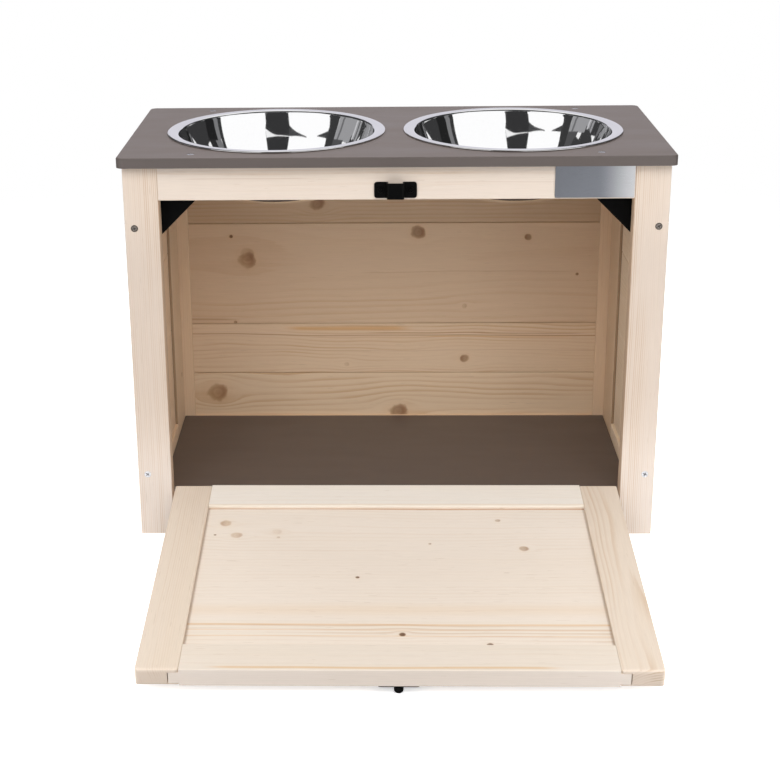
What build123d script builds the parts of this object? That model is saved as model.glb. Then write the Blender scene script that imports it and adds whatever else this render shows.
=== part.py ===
from build123d import *
import math
import os

# Elevated dog feeder: a wooden storage cabinet on four legs, with a flap door hinged
# along its bottom edge, and two steel bowls hung in cut-outs of its top board.
# Row frame: X to the right, Y from the front to the back, Z up. Lengths are millimetres.
# The door rests open, lying on the floor in front of the cabinet. The origin is on the
# floor, at the centre of the ground that the feeder then covers. Shapes are drawn about
# the centre of the cabinet, with the door closed, and are moved there at the end.

# ---------------------------------------------------------------- driving dimensions

# cabinet
body_width = 590.0            # over the outer faces of the legs
body_height = 435.0           # floor to the underside of the top board
inner_depth = 232.0           # between the front frame and the back frame
stock = 19.0                  # thickness of all frame timber
leg_width = 38.0
rail_height = 38.0            # top rails
foot_height = 16.0            # floor to the underside of the lowest rails
edge_round = 1.2              # eased long edges of the timber
overshoot = 1.0               # cutting tools reach past the faces they open
side_inset = 5.0              # side frames stand back from the legs' outer faces

# tongue and groove work
groove_width = 12.0
groove_depth = 11.0
tongue_gap = 1.0              # left free at the bottom of a groove
tenon_length = 10.0
tenon_shoulder = 8.0          # rail edge to tenon edge
board_tongue = 4.0            # thickness of the tongue between two boards
board_tongue_reach = 5.0
board_seam = 0.4              # open line between two boards
board_chamfer = 0.8

# back frame
back_board_tops = (106.0, 173.0, 305.0)   # heights of the seams between the back boards

# side frames
side_stile_width = 68.0
side_bottom_rail_height = 48.0
side_board_tops = (189.0, 287.0)

# floor panel
floor_thickness = 6.5
floor_top = 48.5
floor_gap = 0.5
cleat = 19.0

# top board
top_width = 600.0
top_depth = 292.0
top_thickness = 11.0
top_corner = 8.0
top_edge_round = 1.5

# bowls
bowl_spacing = 271.0          # centre to centre
bowl_rim_radius = 125.0
bowl_rim_width = 10.5
bowl_rim_rise = 2.4
bowl_depth = 71.0             # board surface to the underside of the base
bowl_wall = 1.0
bowl_base_radius = 60.0
bowl_base_bend = 30.0
bowl_top_inner = 112.0        # inner radius just under the rim
cutout_gap = 1.5              # bowl to the edge of its cut-out
bowl_seat_gap = 0.3           # rim to the board

# door
door_side_gap = 5.5
door_edge_gap = 2.0           # above and below the closed door
door_proud = 0.4              # outer face stands in front of the legs' faces
door_stile_width = 42.0
door_hinge_rail_width = 47.0
door_free_rail_width = 42.0
door_corner = 4.0             # rounded outer corners of the door
door_rest_gap = 0.1           # lowest point of the open door to the floor

# corner gussets, which are also the door's stops
gusset_leg = 84.0
gusset_drop = 10.0            # underside of the top board to the gusset
gusset_thickness = 5.0
gusset_corner = 2.0
gusset_screw_drop = 10.0      # top edge of the gusset to its screws
gusset_screw_offsets = (17.0, 52.0)   # square corner of the gusset to each screw

# hinges
hinge_inset = 81.5            # side of the door to the middle of each hinge
hinge_length = 40.0
hinge_leaf = 1.2
hinge_leaf_height = 13.0
hinge_corner = 2.0
hinge_screw_offset = 12.0     # middle of a leaf to its screws
knuckle_radius = 2.4
knuckle_count = 5
knuckle_gap = 0.3
pin_radius = 1.0
pin_clearance = 0.05
pin_proud = 2.8               # hinge axis in front of the legs' faces

# barrel bolt and keeper
bolt_plate_width = 41.0
bolt_plate_length = 40.0
bolt_plate_thickness = 1.2
bolt_plate_corner = 3.0
bolt_screw_side_inset = 6.0
bolt_screw_end_inset = 7.0
bolt_edge_setback = 1.0       # plate to the free edge of the door
bolt_rod_radius = 3.0
bolt_rod_gap = 0.25           # rod to its straps and plate
bolt_rod_length = 50.0
bolt_throw = 15.0
rod_end_chamfer = 0.8
strap_wall = 1.4
strap_length = 8.0
strap_inset = 1.0             # strap to the end of the plate
rod_joint_gap = 0.2           # between the rod's sliding half and its turning half
rod_spigot_radius = 1.5
rod_spigot_length = 6.0
handle_stem_radius = 1.5
handle_ball_radius = 2.7
handle_reach = 8.2            # rod axis to the centre of the ball
handle_end_gap = 0.6          # stem to the strap that stops it
keeper_width = 46.0
keeper_height = 17.6
keeper_wall = 1.4
keeper_corner = 3.0
keeper_bridge_width = 18.6
keeper_bridge_rise = 9.4
keeper_bridge_bend = 2.5      # outer radius of the bridge's bends
keeper_lift = 2.2             # above the lower edge of the top rail

# blank plate on the top rail
plate_width = 85.0
plate_height = 35.0
plate_thickness = 1.0
plate_side_gap = 1.0          # to the right leg
plate_corner = 1.5

# countersunk wood screws
frame_screw = (4.0, 1.9, 42.0)     # head radius, shank radius, length
top_screw = (4.0, 1.9, 30.0)
cleat_screw = (3.2, 1.6, 30.0)
small_screw = (2.8, 1.4, 14.0)
hinge_screw = (2.2, 1.1, 12.0)
pan_screw = (3.2, 1.4, 12.0)
pan_head_height = 2.0
pan_crown_radius = 2.2
pan_shoulder = 0.7            # height of a pan head at its edge
countersink_land = 0.3
frame_screw_edge = 10.5       # outer edge of a leg to its screws
frame_screw_heights = (74.5, 366.0)
top_screw_inset = 36.0        # inner face of a leg to the screws of the top and the cleats

# ---------------------------------------------------------------- derived dimensions

half_width = body_width / 2
front_face = -inner_depth / 2 - stock
front_inner = -inner_depth / 2
back_inner = inner_depth / 2
back_face = inner_depth / 2 + stock
leg_inner = half_width - leg_width
top_screw_offset = leg_inner - top_screw_inset
side_outer = half_width - side_inset
side_inner = side_outer - stock
top_rail_bottom = body_height - rail_height
top_surface = body_height + top_thickness
floor_underside = floor_top - floor_thickness
cheek = (stock - groove_width) / 2
tongue_reach = groove_depth - tongue_gap
front_centre = (front_face + front_inner) / 2
back_centre = (back_face + back_inner) / 2

door_bottom = floor_underside + door_edge_gap
door_top = top_rail_bottom - door_edge_gap
door_length = door_top - door_bottom
door_half_width = leg_inner - door_side_gap
hinge_offset = door_half_width - hinge_inset
door_outer = front_face - door_proud
door_inner = door_outer + stock
door_centre = (door_outer + door_inner) / 2

pin_y = front_face - pin_proud
pin_z = floor_underside + door_edge_gap / 2

rod_height = bolt_plate_thickness + bolt_rod_radius + bolt_rod_gap
strap_radius = bolt_rod_radius + bolt_rod_gap + strap_wall
strap_rise = rod_height + strap_radius
bolt_top = door_top - bolt_edge_setback
rod_y = door_outer - rod_height

# The open door leans on the crown of the bolt's outer strap, which meets the floor.
rest_height = pin_z - door_rest_gap
contact_reach = bolt_top - strap_inset - pin_z
contact_drop = strap_rise - (pin_proud - door_proud)
door_open_angle = 90 + math.degrees(
    math.asin(rest_height / math.hypot(contact_reach, contact_drop))
    - math.atan2(contact_drop, contact_reach)
)

# The open door's free edge and the top board's back edge bound the covered ground.
opening = math.radians(door_open_angle)
door_free_y = (
    pin_y + (door_inner - pin_y) * math.cos(opening) - (door_top - pin_z) * math.sin(opening)
)
ground_centre_y = round((door_free_y + top_depth / 2) / 2, 2)


# ---------------------------------------------------------------- helpers

def block(x0, x1, y0, y1, z0, z1):
    """A box between two opposite corners."""
    centre = Pos((x0 + x1) / 2, (y0 + y1) / 2, (z0 + z1) / 2)
    return centre * Box(x1 - x0, y1 - y0, z1 - z0)


def eased(shape, axis, radius=edge_round):
    """Rounds the long edges that run along an axis."""
    edges = shape.edges().filter_by(axis)
    longest = max(edge.length for edge in edges)
    return fillet([edge for edge in edges if edge.length > longest - stock], radius)


def mirrored(shape):
    """The same shape on the other side of the cabinet's middle plane."""
    return mirror(shape, Plane.YZ)


def opened(shape):
    """Turns a shape of the closed door about the hinge axis to its open place."""
    return Pos(0, pin_y, pin_z) * Rot(door_open_angle, 0, 0) * Pos(0, -pin_y, -pin_z) * shape


def countersunk(size):
    """A countersunk screw with its head flush with z = 0, pointing down."""
    head, shank, length = size
    cone_end = countersink_land + head - shank
    profile = Polyline(
        (0, 0), (head, 0), (head, -countersink_land), (shank, -cone_end),
        (shank, -length + shank), (0, -length), close=True,
    )
    return revolve(Plane.XZ * make_face(profile), Axis.Z)


def pan_head(size):
    """A pan head screw that seats on z = 0, pointing down."""
    head, shank, length = size
    profile = Polyline(
        (0, pan_head_height), (pan_crown_radius, pan_head_height), (head, pan_shoulder),
        (head, 0), (shank, 0), (shank, -length + shank), (0, -length), close=True,
    )
    return revolve(Plane.XZ * make_face(profile), Axis.Z)


towards_back = Rot(90, 0, 0)
towards_front = Rot(-90, 0, 0)


def drilled(shape, tools):
    """Cuts every tool from a shape that it reaches."""
    for tool in tools:
        shape = shape - tool
    return shape


# ---------------------------------------------------------------- fasteners

def frame_screws(face_y, turn):
    return [
        Pos(side * (half_width - frame_screw_edge), face_y, height)
        * turn * countersunk(frame_screw)
        for side in (-1, 1)
        for height in frame_screw_heights
    ]


front_screws = frame_screws(front_face, towards_back)
back_screws = frame_screws(back_face, towards_front)
top_screws = [
    Pos(side * top_screw_offset, y, top_surface) * countersunk(top_screw)
    for side in (-1, 1)
    for y in (front_centre, back_centre)
]


# ---------------------------------------------------------------- front and back frames

def tenon_space(rail_bottom, rail_top, gap):
    """The stub tenon of a front rail at its right end, or its mortise with a gap."""
    return block(
        leg_inner - overshoot, leg_inner + tenon_length + gap,
        front_centre - groove_width / 2, front_centre + groove_width / 2,
        rail_bottom + tenon_shoulder, rail_top - tenon_shoulder,
    )


bottom_rail_top = floor_underside


def front_leg():
    leg = eased(block(leg_inner, half_width, front_face, front_inner, 0, body_height), Axis.Z)
    leg -= tenon_space(top_rail_bottom, body_height, tongue_gap)
    leg -= tenon_space(foot_height, bottom_rail_top, tongue_gap)
    return leg


def front_rail(bottom, top):
    rail = eased(block(-leg_inner, leg_inner, front_face, front_inner, bottom, top), Axis.X)
    tenon = tenon_space(bottom, top, 0)
    return rail + tenon + mirrored(tenon)


def back_leg():
    leg = eased(block(leg_inner, half_width, back_inner, back_face, 0, body_height), Axis.Z)
    groove = block(
        leg_inner - overshoot, leg_inner + groove_depth,
        back_centre - groove_width / 2, back_centre + groove_width / 2,
        foot_height, body_height + overshoot,
    )
    return leg - groove


def grooved_rail(half_span, centre, bottom, top, groove_up, groove_down):
    """A rail along X with a tongue on both ends and grooves for the boards."""
    y0, y1 = centre - groove_width / 2, centre + groove_width / 2
    rail = block(-half_span, half_span, centre - stock / 2, centre + stock / 2, bottom, top)
    rail = eased(rail, Axis.X)
    reach = half_span + tongue_reach
    past = reach + overshoot
    rail += block(-reach, reach, y0, y1, bottom, top)
    if groove_up:
        rail -= block(-past, past, y0, y1, top - groove_depth, top + overshoot)
    if groove_down:
        rail -= block(-past, past, y0, y1, bottom - overshoot, bottom + groove_depth)
    return rail


def infill_boards(half_span, centre, bottom, top, seams):
    """Horizontal boards, tongued into each other, that fill a grooved frame."""
    reach = half_span + tongue_reach
    past = reach + overshoot
    outer_y0, outer_y1 = centre - groove_width / 2, centre + groove_width / 2
    tongue_y0, tongue_y1 = centre - board_tongue / 2, centre + board_tongue / 2
    levels = [bottom - tongue_reach, *seams, top + tongue_reach]
    boards = []
    for index in range(len(levels) - 1):
        low, high = levels[index], levels[index + 1]
        joined_below, joined_above = index > 0, index < len(levels) - 2
        low += board_seam / 2 if joined_below else 0
        high -= board_seam / 2 if joined_above else 0
        board = block(-reach, reach, outer_y0, outer_y1, low, high)
        seam_edges = board.edges().filter_by(Axis.X).sort_by(Axis.Z)
        chamfered = seam_edges[:2] if joined_below else []
        chamfered += seam_edges[-2:] if joined_above else []
        if chamfered:
            board = chamfer(chamfered, board_chamfer)
        if joined_below:
            slot_top = low + board_tongue_reach + board_seam
            board -= block(-past, past, tongue_y0, tongue_y1, low - overshoot, slot_top)
        if joined_above:
            tongue_top = high + board_tongue_reach
            board += block(-reach, reach, tongue_y0, tongue_y1, high - board_chamfer, tongue_top)
        boards.append(board)
    return boards


# ---------------------------------------------------------------- side frames, along Y

turn_to_side = Pos((side_inner + side_outer) / 2, 0, 0) * Rot(0, 0, 90)
side_half_depth = inner_depth / 2
side_half_infill = side_half_depth - side_stile_width


def side_stile():
    """The stile that ends at +X before it is turned to the side."""
    stile = eased(
        block(
            side_half_infill, side_half_depth, -stock / 2, stock / 2, foot_height, body_height,
        ),
        Axis.Z,
    )
    return stile - block(
        side_half_infill - overshoot, side_half_infill + groove_depth,
        -groove_width / 2, groove_width / 2,
        foot_height - overshoot, body_height + overshoot,
    )


side_bottom_rail_top = foot_height + side_bottom_rail_height
right_side = {
    "rear_stile": side_stile(),
    "front_stile": mirrored(side_stile()),
    "bottom_rail": grooved_rail(
        side_half_infill, 0, foot_height, side_bottom_rail_top, True, False,
    ),
    "top_rail": grooved_rail(side_half_infill, 0, top_rail_bottom, body_height, False, True),
}
side_infill = infill_boards(
    side_half_infill, 0, side_bottom_rail_top, top_rail_bottom, side_board_tops,
)
for number, board in enumerate(side_infill, start=1):
    right_side[f"board_{number}"] = board
right_side = {name: turn_to_side * shape for name, shape in right_side.items()}


# ---------------------------------------------------------------- floor, top, gussets, plate

def floor_panel():
    half = side_inner - floor_gap
    return block(
        -half, half, front_inner + floor_gap, back_inner - floor_gap, floor_underside, floor_top,
    )


def floor_cleat(wall_y, into):
    y0, y1 = sorted((wall_y, wall_y + into * cleat))
    half = side_inner - floor_gap
    return block(-half, half, y0, y1, floor_underside - cleat, floor_underside)


cleat_screws = [
    Pos(side * top_screw_offset, into * (back_inner - cleat), floor_underside - cleat / 2)
    * (towards_back if into > 0 else towards_front) * countersunk(cleat_screw)
    for side in (-1, 1)
    for into in (-1, 1)
]

cutout_radius = bowl_top_inner + bowl_wall + cutout_gap


def top_board():
    board = Pos(0, 0, body_height + top_thickness / 2) * Box(top_width, top_depth, top_thickness)
    board = fillet(board.edges().filter_by(Axis.Z), top_corner)
    board = fillet(board.faces().sort_by(Axis.Z)[-1].edges(), top_edge_round)
    for side in (-1, 1):
        hole = Cylinder(cutout_radius, 4 * top_thickness)
        board -= Pos(side * bowl_spacing / 2, 0, body_height) * hole
    return board


gusset_corner_x = side_inner - floor_gap
gusset_top = body_height - gusset_drop


def gusset():
    outline = Polyline(
        (gusset_corner_x, gusset_top), (gusset_corner_x - gusset_leg, gusset_top),
        (gusset_corner_x, gusset_top - gusset_leg), close=True,
    )
    plate = extrude(Plane.XZ * make_face(outline), gusset_thickness)
    plate = Pos(0, front_inner + gusset_thickness - plate.bounding_box().max.Y, 0) * plate
    return fillet(plate.edges().filter_by(Axis.Y), gusset_corner)


gusset_screws = [
    Pos(
        side * (gusset_corner_x - offset), front_inner + gusset_thickness,
        gusset_top - gusset_screw_drop,
    )
    * towards_front * countersunk(small_screw)
    for side in (-1, 1)
    for offset in gusset_screw_offsets
]


def blank_plate():
    right = leg_inner - plate_side_gap
    middle = (top_rail_bottom + body_height) / 2
    plate = block(
        right - plate_width, right, front_face - plate_thickness, front_face,
        middle - plate_height / 2, middle + plate_height / 2,
    )
    return fillet(plate.edges().filter_by(Axis.Y), plate_corner)


# ---------------------------------------------------------------- bowls

def bowl_profile(offset):
    """Base, bend and wall of the bowl, moved outwards by an offset."""
    base_z = top_surface - bowl_depth + bowl_wall - offset
    bend = bowl_base_bend + offset
    lean = math.atan2(
        bowl_top_inner - bowl_base_radius - bowl_base_bend, bowl_depth - bowl_base_bend,
    )
    bend_centre = (bowl_base_radius, base_z + bend)
    bend_end = (
        bowl_base_radius + bend * math.cos(lean), base_z + bend - bend * math.sin(lean),
    )
    middle = -(math.pi / 2 + lean) / 2
    bend_middle = (
        bend_centre[0] + bend * math.cos(middle), bend_centre[1] + bend * math.sin(middle),
    )
    return base_z, bend_middle, bend_end


def bowl():
    inner_z, inner_middle, inner_end = bowl_profile(0)
    outer_z, outer_middle, outer_end = bowl_profile(bowl_wall)
    crown = top_surface + bowl_rim_rise
    rim_foot = top_surface + bowl_seat_gap
    rim_inner = bowl_rim_radius - bowl_rim_width
    crown_radius = bowl_rim_radius - bowl_rim_width / 2
    base_inside = (bowl_base_radius, inner_z)
    base_outside = (bowl_base_radius, outer_z)
    mouth_inside = (bowl_top_inner, top_surface - bowl_wall)
    mouth_outside = (bowl_top_inner + bowl_wall, top_surface - 2 * bowl_wall)
    rim_start = (rim_inner, crown - bowl_wall / 2)
    rim_end = (bowl_rim_radius, rim_foot + bowl_wall / 2)
    foot_outer = (bowl_rim_radius - bowl_wall / 2, rim_foot)
    foot_inner = (bowl_rim_radius - 2 * bowl_wall, rim_foot)
    under_rim = (rim_inner + bowl_wall / 2, rim_foot + bowl_wall)
    face = make_face(Curve() + [
        Line((0, inner_z), base_inside),
        ThreePointArc(base_inside, inner_middle, inner_end),
        Polyline(inner_end, mouth_inside, rim_start),
        ThreePointArc(rim_start, (crown_radius, crown), rim_end),
        Polyline(rim_end, foot_outer, foot_inner),
        ThreePointArc(foot_inner, (crown_radius, crown - bowl_wall), under_rim),
        Polyline(under_rim, mouth_outside, outer_end),
        ThreePointArc(outer_end, outer_middle, base_outside),
        Polyline(base_outside, (0, outer_z), (0, inner_z)),
    ])
    return revolve(Plane.XZ * face, Axis.Z)


# ---------------------------------------------------------------- door, drawn closed

door_half_infill = door_half_width - door_stile_width


def door_stile():
    stile = block(
        door_half_infill, door_half_width, door_outer, door_inner, door_bottom, door_top,
    )
    stile = eased(stile, Axis.Z)
    outer_corners = stile.edges().filter_by(Axis.Y).sort_by(Axis.X)[-2:]
    stile = fillet(outer_corners, door_corner)
    return stile - block(
        door_half_infill - overshoot, door_half_infill + groove_depth,
        door_centre - groove_width / 2, door_centre + groove_width / 2,
        door_bottom - overshoot, door_top + overshoot,
    )


door_hinge_rail_top = door_bottom + door_hinge_rail_width
door_free_rail_bottom = door_top - door_free_rail_width

# ---------------------------------------------------------------- hinges, drawn closed

knuckle_length = hinge_length / knuckle_count


def hinge_leaf_shape(face_y, up, own):
    """One leaf at x = 0: its plate, and the knuckles whose numbers are in own."""
    clear = knuckle_radius + knuckle_gap
    z0, z1 = sorted((pin_z + up * clear, pin_z + up * (clear + hinge_leaf_height)))
    leaf = block(-hinge_length / 2, hinge_length / 2, face_y - hinge_leaf, face_y, z0, z1)
    far_corners = leaf.edges().filter_by(Axis.Y).group_by(Axis.Z)[-1 if up > 0 else 0]
    leaf = fillet(far_corners, hinge_corner)
    on_axis = Pos(0, pin_y, pin_z) * Rot(0, 90, 0)
    web_back = face_y - (knuckle_gap if up > 0 else 0)
    web_z0, web_z1 = sorted((pin_z, pin_z + up * (clear + overshoot)))
    for number in own:
        x0 = -hinge_length / 2 + number * knuckle_length + knuckle_gap / 2
        x1 = x0 + knuckle_length - knuckle_gap
        leaf += block(x0, x1, face_y - hinge_leaf, web_back, web_z0, web_z1)
        leaf += on_axis * Pos(0, 0, (x0 + x1) / 2) * Cylinder(knuckle_radius, x1 - x0)
    return leaf - on_axis * Cylinder(pin_radius + pin_clearance, hinge_length + overshoot)


def hinge_screw_group(face_y, up):
    z = pin_z + up * (knuckle_radius + knuckle_gap + hinge_leaf_height / 2)
    return [
        Pos(side * hinge_offset + offset, face_y - hinge_leaf, z)
        * towards_back * countersunk(hinge_screw)
        for side in (-1, 1)
        for offset in (-hinge_screw_offset, hinge_screw_offset)
    ]


frame_hinge_screws = hinge_screw_group(front_face, -1)
door_hinge_screws = hinge_screw_group(door_outer, 1)
fixed_leaf = drilled(
    Pos(hinge_offset, 0, 0) * hinge_leaf_shape(front_face, -1, (0, 2, 4)), frame_hinge_screws,
)
moving_leaf = drilled(
    Pos(hinge_offset, 0, 0) * hinge_leaf_shape(door_outer, 1, (1, 3)), door_hinge_screws,
)
hinge_pin = Pos(hinge_offset, pin_y, pin_z) * Rot(0, 90, 0) * Cylinder(pin_radius, hinge_length)

# ---------------------------------------------------------------- bolt, drawn closed

bolt_bottom = bolt_top - bolt_plate_length
strap_tops = (bolt_top - strap_inset, bolt_bottom + strap_inset + strap_length)
bolt_screws = [
    Pos(side * (bolt_plate_width / 2 - bolt_screw_side_inset), door_outer - bolt_plate_thickness, z)
    * towards_back * pan_head(pan_screw)
    for side in (-1, 1)
    for z in (bolt_top - bolt_screw_end_inset, bolt_bottom + bolt_screw_end_inset)
]


def bolt_plate():
    plate = block(
        -bolt_plate_width / 2, bolt_plate_width / 2, door_outer - bolt_plate_thickness, door_outer,
        bolt_bottom, bolt_top,
    )
    plate = fillet(plate.edges().filter_by(Axis.Y), bolt_plate_corner)
    hole = bolt_rod_radius + bolt_rod_gap
    foot_y = door_outer - bolt_plate_thickness / 2
    for top in strap_tops:
        low = top - strap_length
        middle = Pos(0, rod_y, (low + top) / 2)
        strap = middle * Cylinder(strap_radius, strap_length)
        strap += block(-strap_radius, strap_radius, rod_y, foot_y, low, top)
        strap -= block(-strap_radius, strap_radius, foot_y, rod_y + 2 * strap_radius, low, top)
        bore = middle * Cylinder(hole, strap_length + overshoot)
        bore += block(-hole, hole, rod_y, door_outer - bolt_plate_thickness, low, top)
        plate = (plate + strap) - bore
    return drilled(plate, bolt_screws)


rod_top = strap_tops[0]
stem_z = strap_tops[0] - strap_length - bolt_throw - handle_end_gap - handle_stem_radius
rod_joint_z = stem_z + 2 * handle_stem_radius


def rod_piece(radius, low, high):
    return Pos(0, rod_y, (low + high) / 2) * Cylinder(radius, high - low)


def bolt_rod():
    """The half of the rod that enters the keeper."""
    rod = rod_piece(bolt_rod_radius, rod_joint_z + rod_joint_gap, rod_top)
    rod = chamfer(rod.edges().filter_by(GeomType.CIRCLE).sort_by(Axis.Z)[-1:], rod_end_chamfer)
    socket_top = rod_joint_z + rod_spigot_length + rod_joint_gap
    return rod - rod_piece(rod_spigot_radius + pin_clearance, rod_joint_z, socket_top)


def bolt_handle():
    """The half of the rod that carries the handle, and turns on a spigot in the other."""
    low = rod_top - bolt_rod_length
    rod = rod_piece(bolt_rod_radius, low, rod_joint_z)
    rod = chamfer(rod.edges().filter_by(GeomType.CIRCLE).sort_by(Axis.Z)[:1], rod_end_chamfer)
    rod += rod_piece(rod_spigot_radius, rod_joint_z - overshoot, rod_joint_z + rod_spigot_length)
    stem = Rot(0, 90, 0) * Cylinder(handle_stem_radius, handle_reach)
    rod += Pos(handle_reach / 2, rod_y, stem_z) * stem
    return rod + Pos(handle_reach, rod_y, stem_z) * Sphere(handle_ball_radius)


keeper_z0 = top_rail_bottom + keeper_lift
keeper_screws = [
    Pos(side * (keeper_width + keeper_bridge_width) / 4, front_face - keeper_wall,
        keeper_z0 + keeper_height / 2)
    * towards_back * pan_head(pan_screw)
    for side in (-1, 1)
]


def latch_keeper():
    """A strip of sheet with a raised bridge that the bolt's rod enters from below."""
    z1 = keeper_z0 + keeper_height
    strip = block(
        -keeper_width / 2, keeper_width / 2, front_face - keeper_wall, front_face, keeper_z0, z1,
    )
    strip = fillet(strip.edges().filter_by(Axis.Y), keeper_corner)
    half = keeper_bridge_width / 2
    bridge = block(-half, half, front_face - keeper_bridge_rise, front_face, keeper_z0, z1)
    bridge = fillet(bridge.edges().filter_by(Axis.Z).group_by(Axis.Y)[0], keeper_bridge_bend)
    inside = half - keeper_wall
    tunnel = block(
        -inside, inside, front_face - keeper_bridge_rise + keeper_wall, front_face + overshoot,
        keeper_z0 - overshoot, z1 + overshoot,
    )
    inner_bend = keeper_bridge_bend - keeper_wall
    tunnel = fillet(tunnel.edges().filter_by(Axis.Z).group_by(Axis.Y)[0], inner_bend)
    return drilled(strip + bridge - tunnel, keeper_screws)


# ---------------------------------------------------------------- the nodes

nodes = {}
right_front_leg = front_leg()
nodes["front_leg_right"] = right_front_leg
nodes["front_leg_left"] = mirrored(right_front_leg)
nodes["front_top_rail"] = front_rail(top_rail_bottom, body_height)
nodes["front_bottom_rail"] = front_rail(foot_height, bottom_rail_top)
nodes["back_leg_right"] = back_leg()
nodes["back_leg_left"] = mirrored(back_leg())
nodes["back_top_rail"] = grooved_rail(
    leg_inner, back_centre, top_rail_bottom, body_height, False, True,
)
nodes["back_bottom_rail"] = grooved_rail(
    leg_inner, back_centre, foot_height, floor_top, True, False,
)
back_infill = infill_boards(leg_inner, back_centre, floor_top, top_rail_bottom, back_board_tops)
for number, board in enumerate(back_infill, start=1):
    nodes[f"back_board_{number}"] = board
for name, shape in right_side.items():
    nodes[f"right_side_{name}"] = shape
    nodes[f"left_side_{name}"] = mirrored(shape)
nodes["floor_panel"] = floor_panel()
nodes["floor_cleat_front"] = floor_cleat(front_inner, 1)
nodes["floor_cleat_back"] = floor_cleat(back_inner, -1)
nodes["top_board"] = top_board()
nodes["corner_gusset_right"] = gusset()
nodes["corner_gusset_left"] = mirrored(gusset())
nodes["latch_keeper"] = latch_keeper()
nodes["blank_plate"] = blank_plate()
for side, name in ((-1, "left"), (1, "right")):
    nodes[f"bowl_{name}"] = Pos(side * bowl_spacing / 2, 0, 0) * bowl()
nodes["hinge_fixed_leaf_right"] = fixed_leaf
nodes["hinge_fixed_leaf_left"] = Pos(-2 * hinge_offset, 0, 0) * fixed_leaf
nodes["hinge_pin_right"] = hinge_pin
nodes["hinge_pin_left"] = mirrored(hinge_pin)

door = {
    "door_stile_right": door_stile(),
    "door_stile_left": mirrored(door_stile()),
    "door_hinge_rail": grooved_rail(
        door_half_infill, door_centre, door_bottom, door_hinge_rail_top, True, False,
    ),
    "door_free_rail": grooved_rail(
        door_half_infill, door_centre, door_free_rail_bottom, door_top, False, True,
    ),
    "door_panel": infill_boards(
        door_half_infill, door_centre, door_hinge_rail_top, door_free_rail_bottom, (),
    )[0],
    "hinge_moving_leaf_right": moving_leaf,
    "hinge_moving_leaf_left": Pos(-2 * hinge_offset, 0, 0) * moving_leaf,
    "bolt_plate": bolt_plate(),
    "bolt_rod": bolt_rod(),
    "bolt_handle": bolt_handle(),
}

# Every screw is seated in a hole of its own shape.
screw_holes = {
    "front_leg_screws": (front_screws, (
        "front_leg_right", "front_leg_left", "right_side_front_stile", "left_side_front_stile")),
    "back_leg_screws": (back_screws, (
        "back_leg_right", "back_leg_left", "right_side_rear_stile", "left_side_rear_stile")),
    "top_screws": (top_screws, ("top_board", "front_top_rail", "back_top_rail")),
    "cleat_screws": (cleat_screws, (
        "floor_cleat_front", "floor_cleat_back", "front_bottom_rail", "back_bottom_rail")),
    "gusset_screws": (gusset_screws, (
        "corner_gusset_right", "corner_gusset_left", "front_top_rail")),
    "keeper_screws": (keeper_screws, ("front_top_rail",)),
    "hinge_frame_screws": (frame_hinge_screws, ("front_bottom_rail",)),
}
for name, (screws, held) in screw_holes.items():
    for target in held:
        nodes[target] = drilled(nodes[target], screws)
    nodes[name] = Compound(screws)

door["door_hinge_rail"] = drilled(door["door_hinge_rail"], door_hinge_screws)
for target in ("door_free_rail", "door_panel"):
    door[target] = drilled(door[target], bolt_screws)
door["hinge_door_screws"] = Compound(door_hinge_screws)
door["bolt_screws"] = Compound(bolt_screws)
for name, shape in door.items():
    nodes[name] = opened(shape)

os.makedirs("parts", exist_ok=True)
for name, shape in nodes.items():
    export_step(Pos(0, -ground_centre_y, 0) * shape, f"parts/{name}.step")

print(f"{len(nodes)} nodes, door open by {door_open_angle:.4f} degrees")
print(f"cabinet centre at y {-ground_centre_y:.4f}, hinge axis at y {pin_y - ground_centre_y:.4f}")
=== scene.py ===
import math

import bmesh
import bpy
from mathutils import Matrix, Vector


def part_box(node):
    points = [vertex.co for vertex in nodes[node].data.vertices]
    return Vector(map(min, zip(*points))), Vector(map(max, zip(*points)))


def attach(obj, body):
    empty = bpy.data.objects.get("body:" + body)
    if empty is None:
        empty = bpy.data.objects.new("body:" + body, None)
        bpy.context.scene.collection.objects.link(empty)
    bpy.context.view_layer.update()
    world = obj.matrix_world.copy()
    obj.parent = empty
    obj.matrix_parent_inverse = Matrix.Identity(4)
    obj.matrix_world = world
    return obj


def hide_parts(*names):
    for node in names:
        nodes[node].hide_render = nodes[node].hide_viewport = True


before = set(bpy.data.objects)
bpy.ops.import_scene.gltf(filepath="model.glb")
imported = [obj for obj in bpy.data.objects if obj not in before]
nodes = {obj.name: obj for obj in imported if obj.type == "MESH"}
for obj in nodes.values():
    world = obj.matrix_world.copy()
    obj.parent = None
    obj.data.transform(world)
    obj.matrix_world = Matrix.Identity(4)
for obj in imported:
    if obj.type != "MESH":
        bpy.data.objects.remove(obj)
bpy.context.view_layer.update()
scene = bpy.context.scene

# ------------------------------------------------------------------ places, in metres

CABINET_Y = 0.17206               # centre of the cabinet, front to back
FRONT_Y = CABINET_Y - 0.135       # outer faces of the front frame
BACK_Y = CABINET_Y + 0.135        # and of the back frame
HINGE = Vector((0.0, FRONT_Y - 0.0028, 0.043))
DOOR_START, DOOR_FACE = 0.001, 0.0214      # the hinge to the door's edge, and its inner face
DOOR_ANGLE = math.radians(95.9426)
TOP_Z = 0.446                     # upper face of the top board
BOWL_X = 0.1355                   # from the feeder's middle to each bowl's
LEG_X = 0.2845                    # from its middle to the screws of each leg
LOW_SCREW_Z, HIGH_SCREW_Z = 0.0745, 0.366
X, Y, Z = Vector((1, 0, 0)), Vector((0, 1, 0)), Vector((0, 0, 1))
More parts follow.
